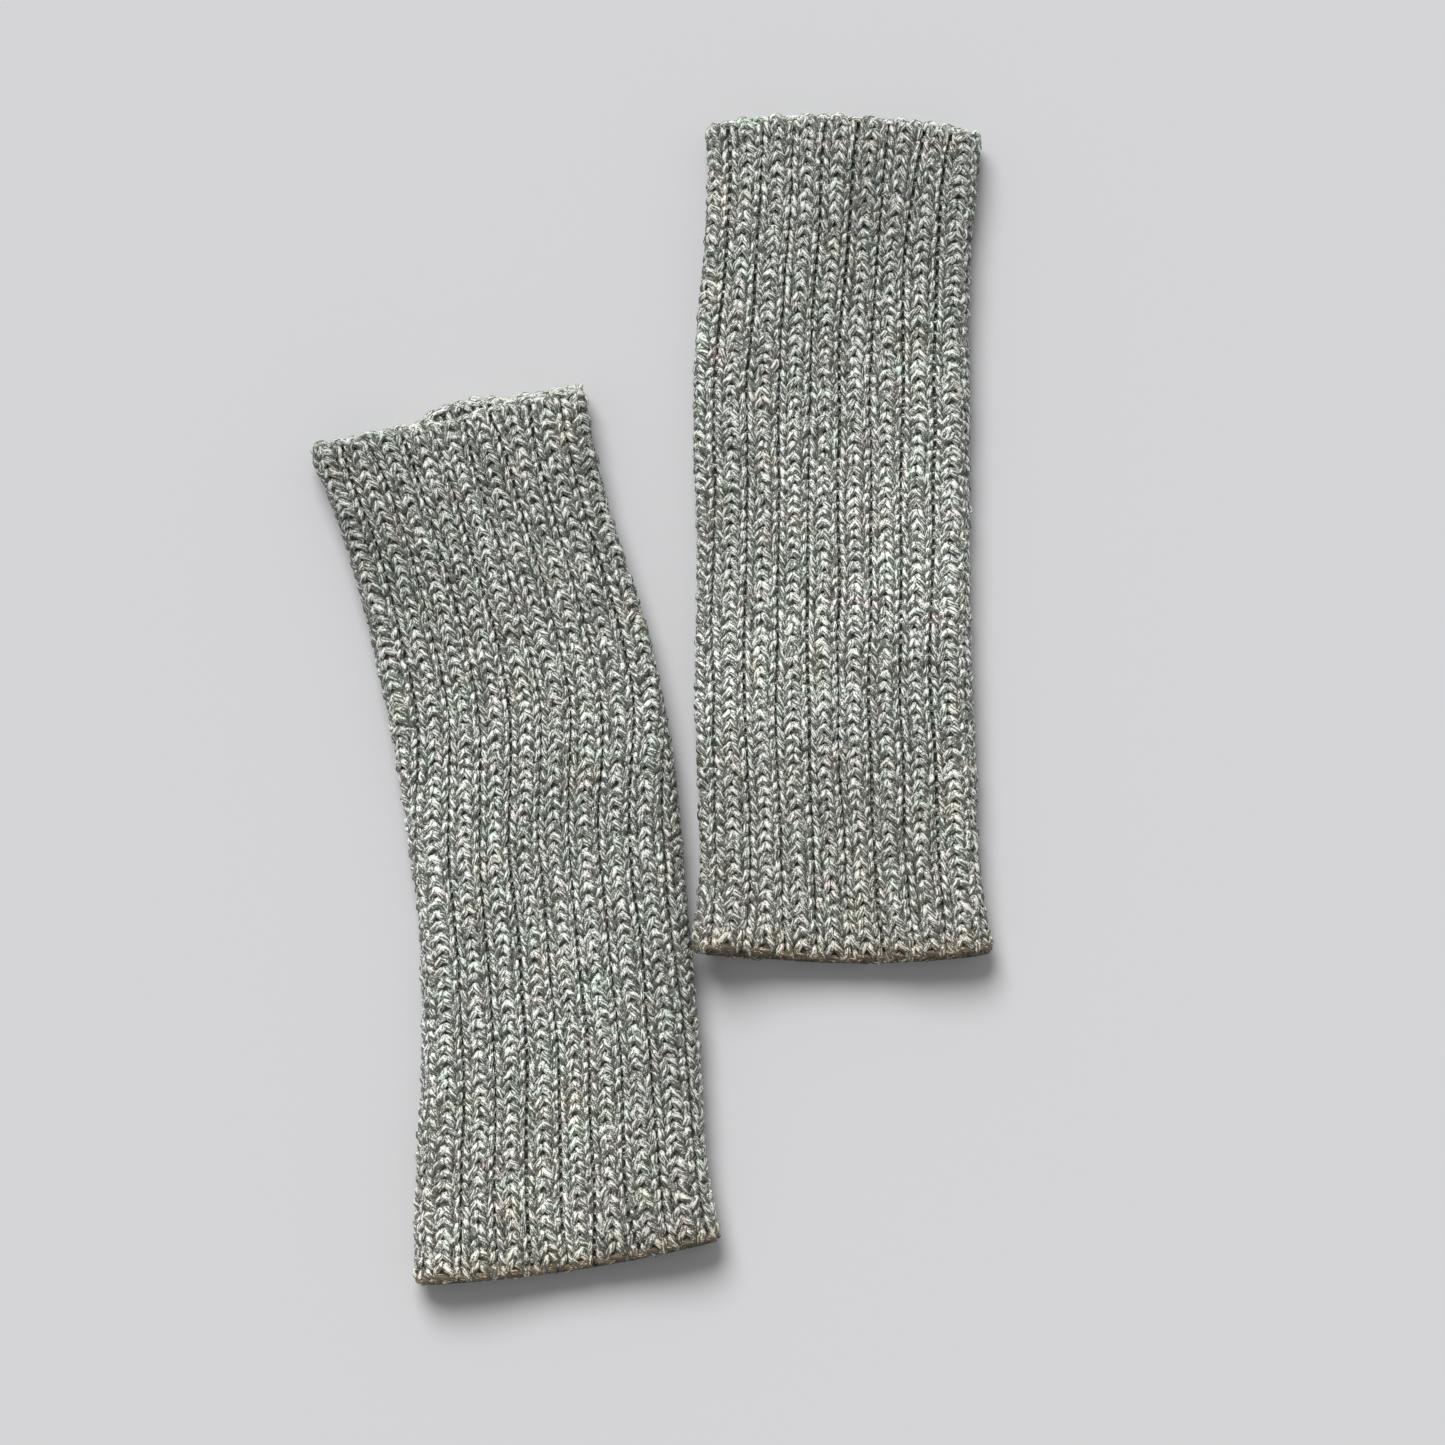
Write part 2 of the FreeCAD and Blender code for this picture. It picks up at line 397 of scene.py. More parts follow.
def sweep(points, radius, sides):
    """Round tubes along many paths at once. points is (path, step, 3), and radius is
    (path, step). Gives points (path, step, side, 3)."""
    ahead = np.empty_like(points)
    ahead[:, 1:-1] = points[:, 2:] - points[:, :-2]
    ahead[:, 0] = points[:, 1] - points[:, 0]
    ahead[:, -1] = points[:, -1] - points[:, -2]
    ahead /= np.linalg.norm(ahead, axis=2, keepdims=True)
    # a direction across the path, carried along it so that the tube does not twist
    first = np.broadcast_to(np.array([0.02, 0.03, 1.0]), points[:, 0].shape)
    reference = np.empty_like(points)
    for k in range(points.shape[1]):
        first = first - ahead[:, k] * np.sum(first * ahead[:, k], axis=1, keepdims=True)
        first = first / np.linalg.norm(first, axis=1, keepdims=True)
        reference[:, k] = first
    other = np.cross(ahead, reference)
    turn = np.arange(sides) / sides * 2 * math.pi
    ring = (np.cos(turn)[:, None] * reference[:, :, None, :]
            + np.sin(turn)[:, None] * other[:, :, None, :])
    return points[:, :, None, :] + ring * radius[:, :, None, None]


def press(tubes, low, high):
    """Flattens the yarn of a rib where it would stand past the rib's two sides."""
    x = tubes[..., 0]
    low, high = low[:, None, None], high[:, None, None]
    x = np.where(x < low, low + PRESSED * (x - low), x)
    tubes[..., 0] = np.where(x > high, high + PRESSED * (x - high), x)


def new_piece(name, vertices, faces, material):
    """A mesh object. faces is a list of arrays, each of faces with the same number of corners."""
    mesh = bpy.data.meshes.new(name)
    mesh.vertices.add(len(vertices))
    mesh.vertices.foreach_set("co", np.ascontiguousarray(vertices, dtype=np.float64).reshape(-1))
    loops = np.concatenate([f.reshape(-1) for f in faces])
    sizes = np.concatenate([np.full(len(f), f.shape[1]) for f in faces])
    mesh.loops.add(len(loops))
    mesh.loops.foreach_set("vertex_index", loops)
    mesh.polygons.add(len(sizes))
    mesh.polygons.foreach_set("loop_start", np.cumsum(sizes) - sizes)
    mesh.materials.append(material)
    piece = bpy.data.objects.new(name, mesh)
    bpy.context.scene.collection.objects.link(piece)
    return piece


def point_values(mesh, name, values):
    """Gives each of a mesh's points a number that its material can read."""
    attribute = mesh.attributes.new(name, "FLOAT", "POINT")
    attribute.data.foreach_set("value", np.ascontiguousarray(values, dtype=np.float32).reshape(-1))


def yarn_piece(name, tubes, start_lengths, along, painted_highlight, material):
    """One mesh of many open yarn tubes, with the length along the yarn and the angle round it
    in the UV map "yarn", and the strips for baking in "OFBake". along says how far each point
    is along the glove, from 0 at the cast-on to 1 at the bind-off, and the argument after it
    how much painted highlight each step of each path gets, most near the top of a leg."""
    paths, steps, sides = tubes.shape[:3]
    index = np.arange(paths * steps * sides).reshape(paths, steps, sides)
    a, b = index[:, :-1, :], index[:, 1:, :]
    quads = np.stack([a, np.roll(a, -1, axis=2), np.roll(b, -1, axis=2), b], axis=-1)
    caps = np.concatenate([index[:, 0, ::-1], index[:, -1, :]])
    piece = new_piece(name, tubes.reshape(-1, 3), [quads.reshape(-1, 4), caps], material)

    centre = tubes.mean(axis=2)
    step = np.linalg.norm(np.diff(centre, axis=1), axis=2)
    length = np.concatenate([np.zeros((paths, 1)), np.cumsum(step, axis=1)], axis=1)
    length = (length + np.reshape(start_lengths, (paths, 1))) / MM
    side = np.arange(sides + 1) / sides
    u = np.broadcast_to(length[:, :, None], (paths, steps, sides))
    uv = np.empty((paths, steps - 1, sides, 4, 2))
    uv[..., 0, 0], uv[..., 1, 0] = u[:, :-1], u[:, :-1]
    uv[..., 2, 0], uv[..., 3, 0] = u[:, 1:], u[:, 1:]
    uv[..., 0, 1], uv[..., 3, 1] = side[:-1], side[:-1]
    uv[..., 1, 1], uv[..., 2, 1] = side[1:], side[1:]
    cap_length = np.repeat(np.concatenate([length[:, 0], length[:, -1]]), sides)
    cap_uv = np.stack([cap_length, np.tile(side[:-1], 2 * paths)], axis=1)
    mesh = piece.data
    layer = mesh.uv_layers.new(name="yarn")
    layer.data.foreach_set("uv", np.concatenate([uv.reshape(-1, 2), cap_uv]).reshape(-1))
    bake = mesh.uv_layers.new(name="OFBake")
    bake.data.foreach_set("uv", bake_strips(paths, steps, sides).reshape(-1))
    point_values(mesh, "along", along)
    # the painted highlight, which the yarn's material reads
    point_values(mesh, "painted_highlight", np.broadcast_to(painted_highlight[:, :, None], tubes.shape[:3]))
    mesh.update(calc_edges=True)
    mesh.shade_smooth()
    return piece


def bake_strips(paths, steps, sides):
    """UVs that lay all the tubes out as level strips, with a margin between the strips."""
    quads_long = paths * (steps - 1)
    strips = max(1, round(math.sqrt(quads_long / (sides + 1.5) * 0.75)))
    per_strip = math.ceil(quads_long / strips)
    number = np.arange(quads_long)
    strip, place = number // per_strip, number % per_strip
    rows = strips + 1          # the last strip holds the end caps
    u0, u1 = place / per_strip, (place + 1) / per_strip
    v = (strip[:, None] + 0.08 + 0.84 * np.arange(sides + 1)[None, :] / sides) / rows
    uv = np.empty((quads_long, sides, 4, 2))
    uv[..., 0, 0] = uv[..., 1, 0] = u0[:, None]
    uv[..., 2, 0] = uv[..., 3, 0] = u1[:, None]
    uv[..., 0, 1] = uv[..., 3, 1] = v[:, :-1]
    uv[..., 1, 1] = uv[..., 2, 1] = v[:, 1:]
    caps = 2 * paths
    angle = np.arange(sides) / sides * 2 * math.pi
    size = min(0.45 / caps, 0.4 / rows)
    cap = np.empty((caps, sides, 2))
    cap[..., 0] = (np.arange(caps)[:, None] + 0.5) / caps + size * np.cos(angle)
    cap[..., 1] = (rows - 0.5) / rows + size * np.sin(angle)
    return np.concatenate([uv.reshape(-1, 2), cap.reshape(-1, 2)])


# ---- materials -----------------------------------------------------------------------------
# Colours of the marl, from dark fibre to light fibre: (value, colour)
YARN_COLOURS = [
    (0.35, (0.105, 0.111, 0.094)),
    (0.46, (0.178, 0.187, 0.160)),
    (0.532, (0.245, 0.257, 0.226)),
    (0.555, (0.600, 0.628, 0.578)),
    (0.580, (0.940, 0.970, 0.915)),
]
MARL_LEVEL = 0.3675         # taken from the value, so that both kinds of fibre show
# the fibre's colours: darker than the yarn's, as painted shade behind and between the stitches
SHADED_FIBRE_COLOURS = [
    (0.36, (0.090, 0.095, 0.083)),
    (0.52, (0.170, 0.178, 0.157)),
    (0.68, (0.360, 0.372, 0.342)),
]
GUTTER_SHADE = (0.15, 0.13, 0.18, 1)       # what the fibre's colour is multiplied by in a gutter, as painted shade

# What a glove's colour is multiplied by along it, from 0 at its cast-on: (place, factor)
TONE_ALONG = [(0.25, (0.97,) * 3), (0.52, (0.97,) * 3), (0.88, (0.85,) * 3)]
WARM_TINT, WARM_FROM, WARM_TO = (1.02, 0.98, 0.955, 1), 0.28, 0.0
# painted shade and painted brown reflected light over the last few millimetres before the cast-on,
# where the knitting curves down away from the light
CAST_ON_SHADE_TINT, EDGE_FROM, EDGE_TO = (0.90, 0.82, 0.72, 1), 0.036, 0.004

# Patches of other tints: about how many to a metre, the tint, and the noise values at which a
# patch starts and is full
PATCHES = [
    (125.0, (1.05, 0.955, 1.00, 1), 0.57, 0.72),
    (98.0, (0.94, 1.02, 0.97, 1), 0.52, 0.70),
    (70.0, (1.05, 0.995, 0.93, 1), 0.54, 0.72),
    (480.0, (1.03, 0.99, 0.95, 1), 0.50, 0.60),
    (390.0, (0.96, 1.00, 1.01, 1), 0.50, 0.60),
    (21.0, (0.80, 0.80, 0.80, 1), 0.46, 0.70),
    (8.0, (0.86, 0.86, 0.86, 1), 0.42, 0.64),
]


class Nodes:
    """A short way to write a node tree."""

    def __init__(self, material):
        material.use_nodes = True
        self.tree = material.node_tree
        self.tree.nodes.clear()

    def add(self, kind, inputs=None, **settings):
        node = self.tree.nodes.new(kind)
        for key, value in settings.items():
            setattr(node, key, value)
        for key, value in (inputs or {}).items():
            if isinstance(value, bpy.types.NodeSocket):
                self.tree.links.new(value, node.inputs[key])
            else:
                node.inputs[key].default_value = value
        return node

    def math(self, operation, a, b=0.0):
        return self.add("ShaderNodeMath", {0: a, 1: b}, operation=operation).outputs[0]

    def ramp(self, fac, stops):
        node = self.add("ShaderNodeValToRGB", {0: fac})
        elements = node.color_ramp.elements
        while len(elements) < len(stops):
            elements.new(0.5)
        for element, (place, colour) in zip(elements, stops):
            element.position = place
            element.color = (*colour, 1)
        return node.outputs[0]

    def mix(self, fac, a, b, blend="MIX"):
        node = self.add("ShaderNodeMix", data_type="RGBA", blend_type=blend)
        for key, value in ((0, fac), (6, a), (7, b)):
            if isinstance(value, bpy.types.NodeSocket):
                self.tree.links.new(value, node.inputs[key])
            else:
                node.inputs[key].default_value = value
        return node.outputs[2]

    def share(self, value, start, end):
        """How far a value is from start, where this gives 0, to end, where it gives 1."""
        node = self.add("ShaderNodeMapRange", {0: value, 1: start, 2: end, 3: 0.0, 4: 1.0})
        return node.outputs[0]

    def tinted(self, colour, amount, tint):
        """The colour, multiplied by a tint by some amount."""
        return self.mix(amount, colour, self.mix(1.0, colour, tint, "MULTIPLY"))

    def patches(self, colour):
        """The colour, with broad, faint patches of other tints, warmer towards the cast-on, and with
        painted shade and painted brown reflected light just before the cast-on.
        """
        along = self.add("ShaderNodeAttribute", attribute_name="along").outputs["Fac"]
        colour = self.mix(1.0, colour, self.ramp(along, TONE_ALONG), "MULTIPLY")
        colour = self.tinted(colour, self.share(along, WARM_FROM, WARM_TO), WARM_TINT)
        # painted shade and painted brown reflected light near the cast-on
        colour = self.tinted(colour, self.share(along, EDGE_FROM, EDGE_TO), CAST_ON_SHADE_TINT)
        spot = self.add("ShaderNodeTexCoord").outputs["Object"]
        for scale, tint, start, full in PATCHES:
            patch = self.add("ShaderNodeTexNoise", {"Vector": spot, "Scale": scale,
                                                    "Detail": 3.0})
            colour = self.tinted(colour, self.share(patch.outputs[0], start, full), tint)
        return colour


def marled_yarn(name, tint=(1, 1, 1), painted_light=0.0):
    """Plies of mixed light and dark fibre, twisted together, with a painted highlight near the top
    of each leg. The last argument adds to the light fibre: as painted highlight where above 0, as
    painted shade where below.
    """
    material = bpy.data.materials.new(name)
    n = Nodes(material)
    uv = n.add("ShaderNodeUVMap", uv_map="yarn").outputs[0]
    parts = n.add("ShaderNodeSeparateXYZ", {0: uv})
    length, side = parts.outputs[0], parts.outputs[1]
    twisted = n.math("ADD", side, n.math("DIVIDE", length, PLY_TWIST / MM))
    turn = n.math("MULTIPLY", twisted, 2 * math.pi)
    across = n.math("COSINE", turn)
    other = n.math("SINE", turn)

    def fibres(round_scale, long_scale, detail, shift):
        """Noise that turns with the plies, finer round the yarn than along it."""
        place = n.add("ShaderNodeCombineXYZ", {
            0: n.math("MULTIPLY", across, round_scale),
            1: n.math("MULTIPLY", other, round_scale),
            2: n.math("ADD", n.math("MULTIPLY", length, long_scale), shift)}).outputs[0]
        noise = n.add("ShaderNodeTexNoise", {"Vector": place, "Scale": 1.0, "Detail": detail,
                                             "Roughness": 0.6})
        return noise.outputs[0]

    fine = fibres(2.0, 0.54, 0.4, 3.7)
    broad = fibres(0.7, 0.16, 0.0, 41.0)
    # painted highlight, read from the mesh: brighter near the top of each leg
    painted_highlight = n.add("ShaderNodeAttribute", attribute_name="painted_highlight").outputs["Fac"]
    spot = n.add("ShaderNodeTexCoord").outputs["Object"]
    loose = n.add("ShaderNodeTexNoise", {"Vector": spot, "Scale": 1600.0, "Detail": 0.5,
                                         "Distortion": 1.2}).outputs[0]
    value = painted_light - MARL_LEVEL
    for part, weight in ((fine, 0.95), (broad, 0.10), (loose, 0.62), (painted_highlight, 0.110)):
        value = n.math("ADD", n.math("MULTIPLY", part, weight), value)
    colour = n.patches(n.ramp(value, YARN_COLOURS))
    if tint != (1, 1, 1):
        colour = n.mix(1.0, colour, (*tint, 1), "MULTIPLY")
    # relief: the plies, and the fibres in them
    plies = n.math("ABSOLUTE", across)
    relief = n.math("ADD", n.math("MULTIPLY", plies, 0.7), n.math("MULTIPLY", fine, 0.6))
    bump = n.add("ShaderNodeBump", {"Height": relief, "Strength": 0.8,
                                    "Distance": 0.22 * MM}).outputs[0]
    glint = n.add("ShaderNodeMapRange", {0: value, 1: 0.44, 2: 0.58, 3: 0.65, 4: 0.38})
    shader = n.add("ShaderNodeBsdfPrincipled", {"Base Color": colour, "Normal": bump,
                                                "Roughness": glint.outputs[0]})
    shader.inputs["IOR"].default_value = 1.6
    shader.inputs["Specular IOR Level"].default_value = 0.6
    n.add("ShaderNodeOutputMaterial", {0: shader.outputs[0]})
    return material


def matted_fibre(name):
    """Loose fibre between the stitches: darker than the yarn's face, as painted shade, and darkest
    in a gutter, where more shade is painted.
    """
    material = bpy.data.materials.new(name)
    n = Nodes(material)
    spot = n.add("ShaderNodeTexCoord").outputs["Object"]
    stretched = n.add("ShaderNodeMapping", {"Vector": spot, "Scale": (1.0, 0.6, 1.0)})
    hairs = n.add("ShaderNodeTexNoise", {"Vector": stretched.outputs[0], "Scale": 900.0,
                                         "Detail": 3.0, "Distortion": 0.8}).outputs[0]
    # painted shade, darkest at the bottom of a gutter
    gutter_shade = n.add("ShaderNodeAttribute", attribute_name="gutter").outputs["Fac"]
    colour = n.tinted(n.patches(n.ramp(hairs, SHADED_FIBRE_COLOURS)), gutter_shade, GUTTER_SHADE)
    bump = n.add("ShaderNodeBump", {"Height": hairs, "Strength": 0.7,
                                    "Distance": 0.2 * MM}).outputs[0]
    shader = n.add("ShaderNodeBsdfPrincipled", {"Base Color": colour, "Normal": bump,
                                                "Roughness": 0.85})
    shader.inputs["Specular IOR Level"].default_value = 0.15
    n.add("ShaderNodeOutputMaterial", {0: shader.outputs[0]})
    return material


# ---- the pieces of one glove ---------------------------------------------------------------
def belongs(piece, glove, node):
    """Puts a piece on its glove's body and hides the CAD node that it stands for."""
    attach(piece, glove)
    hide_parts(node)
    return piece


def make_ribs(glove, tube, material):
    """The knitted yarn, in a few pieces of some ribs each."""
    pieces = []
    for side, label, samples, sides, groups in (
        (1, "ribs", OUTER_SAMPLES, OUTER_SIDES, OUTER_GROUPS),
        (-1, "inner_ribs", INNER_SAMPLES, INNER_SIDES, INNER_GROUPS),
    ):
        points, radius, painted_highlight = stitches(tube, side, samples)
        left, right, left_gap, right_gap = tube.rib_sides(side)
        per_group = RIBS // groups
        for group in range(groups):
            ribs = slice(group * per_group, (group + 1) * per_group)
            paths = COURSES * per_group
            tubes = sweep(points[:, ribs].reshape(paths, -1, 3),
                          radius[:, ribs].reshape(paths, -1), sides)
            press(tubes, (left + left_gap)[:, ribs].reshape(-1),
                  (right - right_gap)[:, ribs].reshape(-1))
            # each path starts at its own place in the yarn, so that no two look alike
            lengths = tube.random.uniform(0, 4000, paths) * MM
            piece = yarn_piece(f"{glove}_{label}_{group + 1}", tube.place(tubes), lengths,
                               tubes[..., 1] / tube.length,
                               painted_highlight[:, ribs].reshape(paths, -1), material)
            pieces.append(belongs(piece, glove, f"{glove}_ribbed_tube"))
    return pieces


def make_fibre(glove, tube, material):
    """The sheet of matted fibre in the middle of the fabric, behind and between the stitches."""
    rows = 2 * COURSES
    after_cast_on, before_bind_off = 0.6 * MM, 0.9 * MM
    beside = 0.10 * MM          # from the side of a gutter to the foot of the fibre
    foot = 0.035                # width of that foot, as a share of the rib
    y = np.linspace(after_cast_on, tube.length - before_bind_off, rows + 1)
    course = np.clip((y - CAST_ON) / tube.course - 0.5, 0, COURSES - 1)
    low = np.floor(course).astype(int).clip(0, COURSES - 2)
    share = (course - low)[:, None]
    left, right, gap, next_gap = (a[low] * (1 - share) + a[low + 1] * share
                                  for a in tube.rib_sides(1))
    width = right - left
    near, far = (gap + beside) / width, (next_gap + beside) / width
    zero = np.zeros_like(near)
    # ten columns over each rib, the first of them at the bottom of a gutter
    across = np.stack([zero, near, near + foot, 0.20 + zero, 0.35 + zero, 0.5 + zero,
                       0.65 + zero, 0.80 + zero, 1 - far - foot, 1 - far], axis=-1)
    # the bottom of a gutter rises in the middle of every course
    rung = 0.5 - 0.5 * np.cos(2 * math.pi * np.clip((y - CAST_ON) / tube.course, 0, None))
    bottom = (-0.55 + 0.5 * rung[:, None]) * MM + zero
    heights = np.array([0, 0.35, 0.72, 0.95, 0.98, 0.80, 0.98, 0.95, 0.72, 0.35]) * MM
    outer = np.broadcast_to(heights, across.shape).copy()
    outer[..., 0] = bottom
    inner_heights = np.array([1.0, 1.0, 0.98, 0.9, 0.7, 0.2, 0.7, 0.9, 0.98, 1.0]) * MM
    inner = -np.broadcast_to(inner_heights, across.shape)
    x = left[:, :, None] + across * width[:, :, None]
    y = np.broadcast_to(y[:, None, None], x.shape)
    columns = x.shape[1] * x.shape[2]
    flat = np.stack([
        np.stack([x, y, z], axis=-1).reshape(rows + 1, columns, 3) for z in (outer, inner)])
    vertices = tube.place(flat)
    index = np.arange(2 * (rows + 1) * columns).reshape(2, rows + 1, columns)
    ahead = np.roll(index, -1, axis=2)
    outside = np.stack([index[0, :-1], ahead[0, :-1], ahead[0, 1:], index[0, 1:]], axis=-1)
    inside = np.stack([index[1, :-1], index[1, 1:], ahead[1, 1:], ahead[1, :-1]], axis=-1)
    start = np.stack([index[0, 0], index[1, 0], ahead[1, 0], ahead[0, 0]], axis=-1)
    end = np.stack([index[0, -1], ahead[0, -1], ahead[1, -1], index[1, -1]], axis=-1)
    faces = np.concatenate([a.reshape(-1, 4) for a in (outside, inside, start, end)])
    piece = new_piece(f"{glove}_matted_fibre", vertices.reshape(-1, 3), [faces], material)
    # how far down into a gutter each point lies, from 0 to 1, which sets how much shade the fibre's
    # material paints there
    shade_in_gutter = np.zeros((2, rows + 1, RIBS, across.shape[-1]))
    shade_in_gutter[0, :, :, 0] = 1.0
    shade_in_gutter[0, :, :, 1] = 0.45
    shade_in_gutter[0, :, :, -1] = 0.45
    point_values(piece.data, "gutter", shade_in_gutter)
    point_values(piece.data, "along", flat[..., 1] / tube.length)
    piece.data.update(calc_edges=True)
    piece.data.shade_smooth()
    belongs(piece, glove, f"{glove}_ribbed_tube")


def meander(tube, count):
    """A line that follows an edge of the ribbing around the glove, in and out with its ribs.
    Gives x and z, the direction across the line in x and z, and the stitches so far."""
    stitch = np.linspace(0, 4 * RIBS, count)
    # x runs fast over the face of a rib, and a little back where the edge crosses the fabric
    saw = -0.64 * np.sin(math.pi * stitch) - 0.19 * np.sin(2 * math.pi * stitch)
    x = tube.pitch * (0.25 * stitch + (0.5 * RIB_FILL - 0.25) * saw)
    z = EDGE_IN_OUT * (1.15 * np.sin(math.pi * stitch / 2)
                     + 0.2 * np.sin(3 * math.pi * stitch / 2))
    ahead = np.stack([np.gradient(x), np.gradient(z)])
    ahead /= np.linalg.norm(ahead, axis=0)
    return x, z, np.stack([-ahead[1], ahead[0]]), stitch


def edge_yarns(tube, strands, radius):
    """Tubes along an edge. strands is a list of functions, each from the stitches so far to
    (how far along the glove, how far out, how far ahead)."""
    count = 12 * 4 * RIBS + 1
    x, z, out, stitch = meander(tube, count)
    points = []
    for strand in strands:
        along, outwards, ahead = strand(stitch)
        points.append(np.stack([x + out[0] * outwards + ahead, along,
                                z + out[1] * outwards], axis=-1))
    points = np.stack(points)
    sizes = radius * (1 + tube.wander(points.shape[:2], 0.10, 6))
    return sweep(points, sizes, OUTER_SIDES)


def make_cast_on(glove, tube, material):
    """The cast-on edge: a cord of two strands, twisted once in every two stitches."""
    def strand(start):
        def place(stitch):
            turn = math.pi * stitch + start
            return CORD_AT + CORD_TURN * np.cos(turn), CORD_TURN * np.sin(turn), 0
        return place

    tubes = edge_yarns(tube, [strand(0), strand(math.pi)], CORD_YARN)
    piece = yarn_piece(f"{glove}_cast_on_cord", tube.place(tubes), [0, 1.7],
                       tubes[..., 1] / tube.length, np.zeros(tubes.shape[:2]), material)
    belongs(piece, glove, f"{glove}_cast_on_edge")


def make_bind_off(glove, tube, material):
    """The bind-off edge: a chain, with one round loop standing up over each stitch and a
    second strand that fills in behind."""
    sizes = 1 + tube.wander(4 * RIBS + 1, 0.20)
    loop_foot, loop_height = tube.length - 2.75 * MM, 1.85 * MM
    strand_foot, strand_height = tube.length - 2.2 * MM, 0.7 * MM

    def loops(stitch):
        arch = sizes[np.floor(stitch).astype(int)] * np.abs(np.sin(math.pi * stitch)) ** 0.8
        return (loop_foot + loop_height * arch, (0.45 - 0.35 * arch) * MM,
                -0.40 * MM * np.sin(2 * math.pi * stitch))

    def behind(stitch):
        arch = np.abs(np.cos(math.pi * stitch))
        return (strand_foot + strand_height * arch, -0.75 * MM,
                0.30 * MM * np.sin(2 * math.pi * stitch))

    tubes = edge_yarns(tube, [loops, behind], CHAIN_YARN)
    # the whole chain gets a strong painted highlight, for the edge that faces the light
    piece = yarn_piece(f"{glove}_bind_off_chain", tube.place(tubes), [0, 2.9],
                       tubes[..., 1] / tube.length, np.full(tubes.shape[:2], 0.8), material)
    belongs(piece, glove, f"{glove}_bind_off_edge")


def make_tail(glove, end, material):
    """A woven-in yarn end, which passes under and over the stitches inside the glove."""
    node = f"{glove}_{end}_tail"
    points, _ = world_points([node])
    low, high = (np.array(corner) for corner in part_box(node))
    reach = 1.0 * MM
    start = points[points[:, 1] < low[1] + reach].mean(axis=0)
    finish = points[points[:, 1] > high[1] - reach].mean(axis=0)
    count = 150
    share = np.linspace(0, 1, count)[:, None]
    line = start + (finish - start) * share
    step = 6.3 * MM             # from one stitch that it passes under to the next
    sideways, rise, sunk = 0.55 * MM, 0.45 * MM, 0.30 * MM
    turn = np.linalg.norm(finish - start) * share[:, 0] / step * 2 * math.pi
    line[:, 0] += sideways * np.sin(turn / 2)
    line[:, 2] = 0.5 * (low[2] + high[2]) - sunk + rise * np.cos(turn)
    tubes = sweep(line[None], np.full((1, count), YARN * 0.92), OUTER_SIDES)
    piece = yarn_piece(f"{glove}_{end}_yarn_end", tubes, [0.4],
                       np.full(tubes.shape[:3], 0.5), np.full((1, count), 0.5), material)
    belongs(piece, glove, node)


def make_glove(glove, seed, lie, materials):
    """All the pieces of one glove. seed starts its random amounts."""
    tube = Tube(glove, seed, lie)
    yarn = make_ribs(glove, tube, materials["yarn"])
    make_fibre(glove, tube, materials["fibre"])
    make_cast_on(glove, tube, materials["cast_on"])
    make_bind_off(glove, tube, materials["bind_off"])
    for end in ("cast_on", "bind_off"):
        make_tail(glove, end, materials["yarn"])


def left_settle(edge, share, below):
    """How the left glove lies: at its mouth the lower layer shows past the upper one, right of
    the middle. Gives how far each point moves across the glove, along it and up."""
    lower = 5.6 * hump(edge, 0.08, 0.45) + 3.0 * smooth_step((edge - 0.15) / 0.3)
    upper = -1.6 * hump(edge, -0.02, 0.35)
    near_mouth = smooth_step(1 - (1 - share) / 0.12)
    still = 0 * edge
    return still, MM * near_mouth * (below * lower + (1 - below) * upper), still


def right_settle(edge, share, below):
    """How the right glove lies: its lower left corner rides up against the left glove."""
    corner = smooth_step((-edge - 0.50) / 0.50) * smooth_step(1 - share / 0.10)
    return -2.2 * MM * corner, -1.4 * MM * corner, 5.8 * MM * corner


def left_twist(share):
    """How far the left glove's ribs run round it, to the right: its upper half is twisted."""
    return MM * (5.0 * smooth_step((share - 0.47) / 0.20) - 1.2 - 2.4 * hump(share, 0.43, 0.30))


def right_twist(share):
    """How far the right glove's ribs run round it, to the right."""
    return 1.6 * MM * smooth_step((share - 0.35) / 0.40)


# How each glove lies. gutter_gap is half the width of its gutters at the cast-on and at the
# bind-off. open_gutters are the stretches that stand open: (gutter, from, to, how much wider).
LEFT_LIE = {
    "settle": left_settle,
    "twist": left_twist,
    "gutter_gap": (0.44 * MM, 0.17 * MM),
    "open_gutters": [(3, 0.50, 0.98, 0.24 * MM), (4, 0.30, 0.50, 0.10 * MM),
                     (4, 0.84, 1.02, 0.34 * MM), (7, 0.38, 0.68, 0.12 * MM)],
}
RIGHT_LIE = {
    "settle": right_settle,
    "twist": right_twist,
    "gutter_gap": (0.33 * MM, 0.37 * MM),
    "open_gutters": [(1, 0.60, 0.96, 0.10 * MM), (4, 0.58, 0.98, 0.16 * MM),
                     (7, 0.68, 0.92, 0.10 * MM)],
}


def make_materials(glove, shade_factor):
    """The materials of one glove. The second argument darkens its yarn a little, as painted shade.
    """
    return {
        "yarn": marled_yarn(f"{glove}_yarn", (shade_factor, shade_factor, shade_factor)),
        # the cast-on: browner and darker, as painted shade and painted brown reflected light on the
        # edge that faces away from the light
        "cast_on": marled_yarn(f"{glove}_cast_on_yarn_painted_shade", (1.0, 0.80, 0.64), -0.11),
        # the bind-off: lighter, as a painted highlight on the edge that faces the light, with the
        # glove's painted shade
        "bind_off": marled_yarn(f"{glove}_bind_off_yarn_painted_highlight", (shade_factor, 1.02 * shade_factor, shade_factor), 0.02),
        "fibre": matted_fibre(f"{glove}_matted_fibre"),
    }


# the left glove's yarn is darkened as painted shade
make_glove("left_glove", 11, LEFT_LIE, make_materials("left_glove", 0.92))
make_glove("right_glove", 23, RIGHT_LIE, make_materials("right_glove", 1.0))


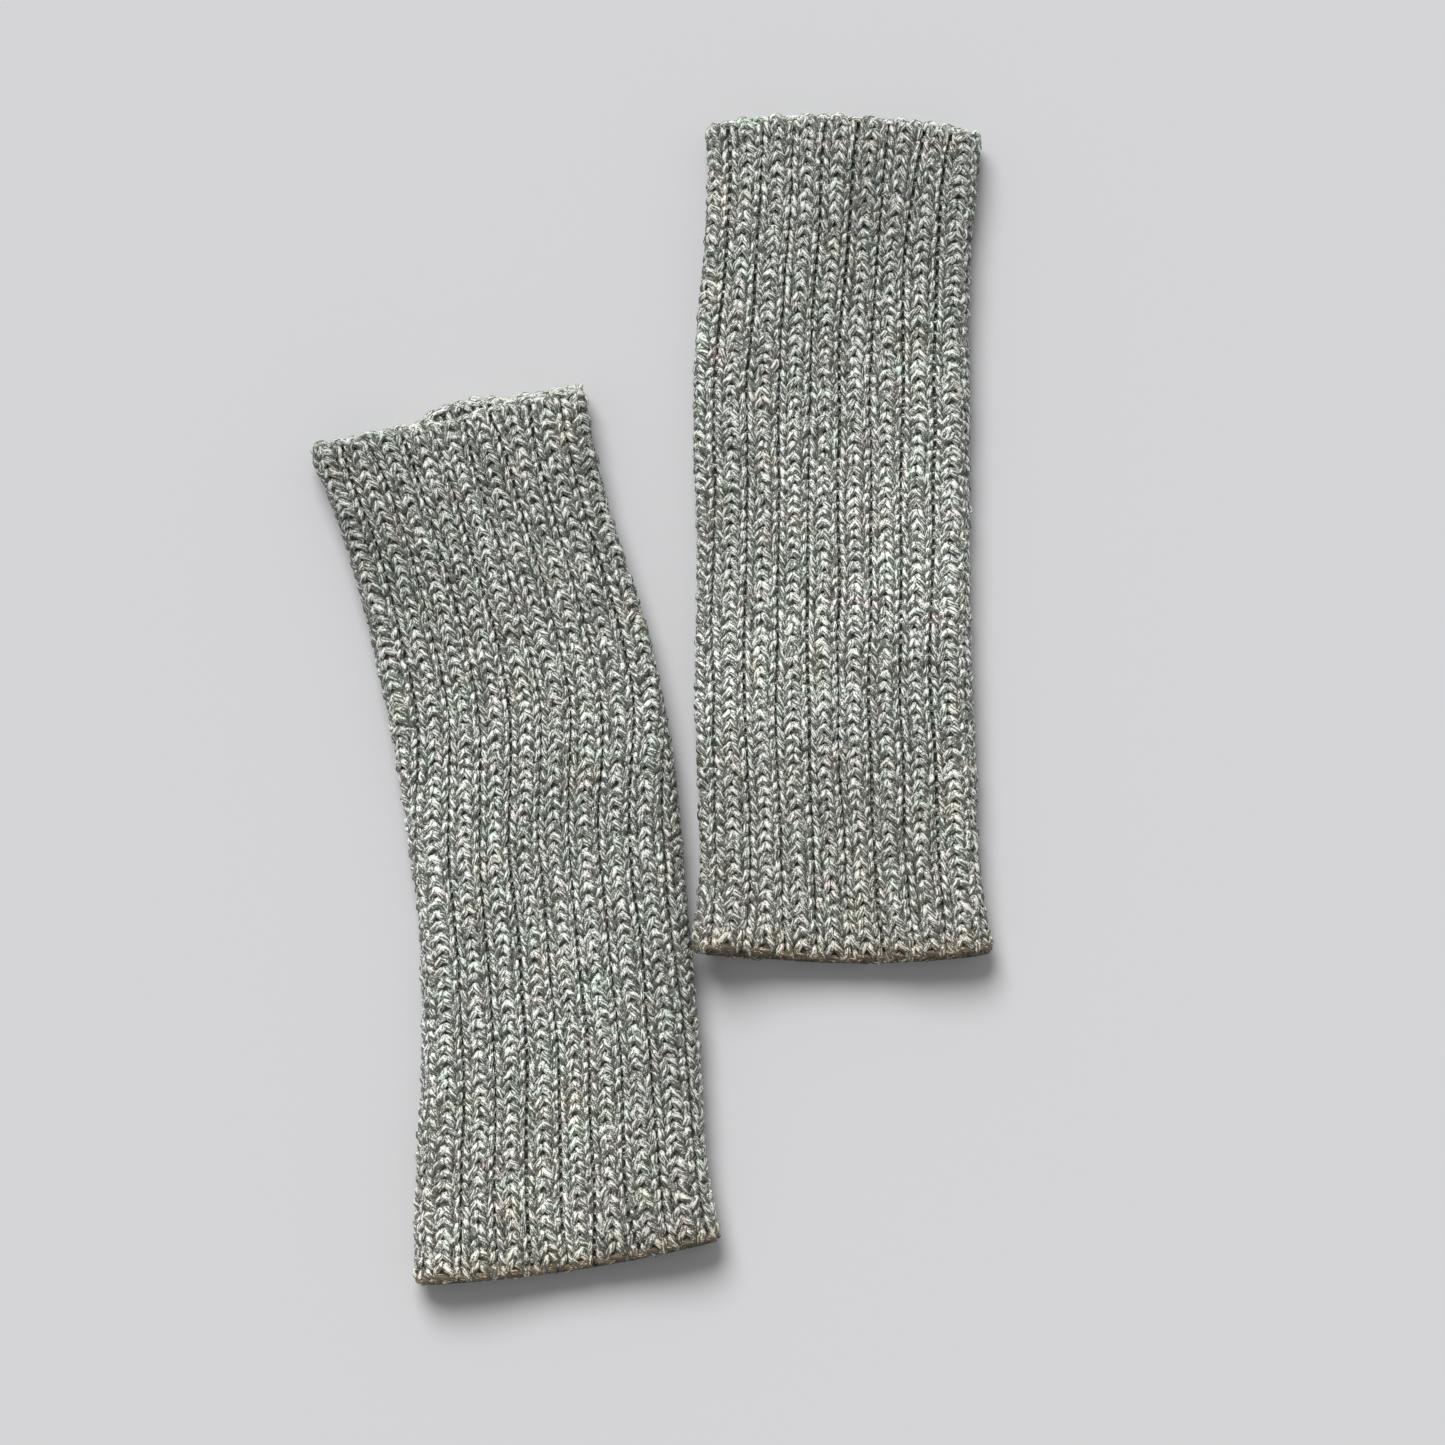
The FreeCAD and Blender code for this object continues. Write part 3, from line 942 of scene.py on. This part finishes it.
# ---- floor, light and camera ---------------------------------------------------------------
FLOOR_COLOUR = (0.60, 0.60, 0.612, 1)
SUN_FROM = (-0.27, 0.74, 0.95)          # the direction that the light comes from
SUN_ANGLE = math.radians(34)            # how large it looks, so how soft its shadows are
SUN_STRENGTH = 3.0
FILL_STRENGTH = 0.368                   # light from all round
VIEW_WIDTH = 430.6 * MM                 # what the picture takes in, at the height of the gloves
TILT = math.radians(6.0)                # how far the camera leans back from straight overhead
DISTANCE = 2.0                          # from the camera to LOOK_AT, in metres
LOOK_AT = (21.7 * MM, -8.0 * MM, 8 * MM)
SENSOR = 36                             # width of the camera's sensor, in its own millimetres


def make_floor():
    bpy.ops.mesh.primitive_plane_add(size=6, location=(0, 0, 0))
    floor = bpy.context.object
    floor.name = "floor"
    material = bpy.data.materials.new("plain_floor")
    material.use_nodes = True
    shader = material.node_tree.nodes["Principled BSDF"]
    shader.inputs["Base Color"].default_value = FLOOR_COLOUR
    shader.inputs["Roughness"].default_value = 0.95
    shader.inputs["Specular IOR Level"].default_value = 0.1
    floor.data.materials.append(material)


def make_lights():
    """One large, soft light from beyond the gloves' upper ends, and light from all round."""
    sun = bpy.data.objects.new("key", bpy.data.lights.new("key", "SUN"))
    sun.data.energy = SUN_STRENGTH
    sun.data.angle = SUN_ANGLE
    sun.rotation_euler = Vector(SUN_FROM).to_track_quat("Z", "Y").to_euler()
    bpy.context.scene.collection.objects.link(sun)
    world = bpy.data.worlds.new("studio")
    world.use_nodes = True
    background = world.node_tree.nodes["Background"]
    background.inputs["Color"].default_value = (1, 1, 1, 1)
    background.inputs["Strength"].default_value = FILL_STRENGTH
    bpy.context.scene.world = world


def make_camera():
    camera = bpy.data.objects.new("camera", bpy.data.cameras.new("camera"))
    bpy.context.scene.collection.objects.link(camera)
    camera.data.sensor_width = SENSOR
    camera.data.lens = SENSOR * DISTANCE / VIEW_WIDTH
    camera.location = (LOOK_AT[0], LOOK_AT[1] - DISTANCE * math.sin(TILT),
                       LOOK_AT[2] + DISTANCE * math.cos(TILT))
    camera.rotation_euler = (TILT, 0, 0)
    camera.data.clip_end = 20
    bpy.context.scene.camera = camera
    bpy.context.scene.view_settings.view_transform = "Standard"


make_floor()
make_lights()
make_camera()
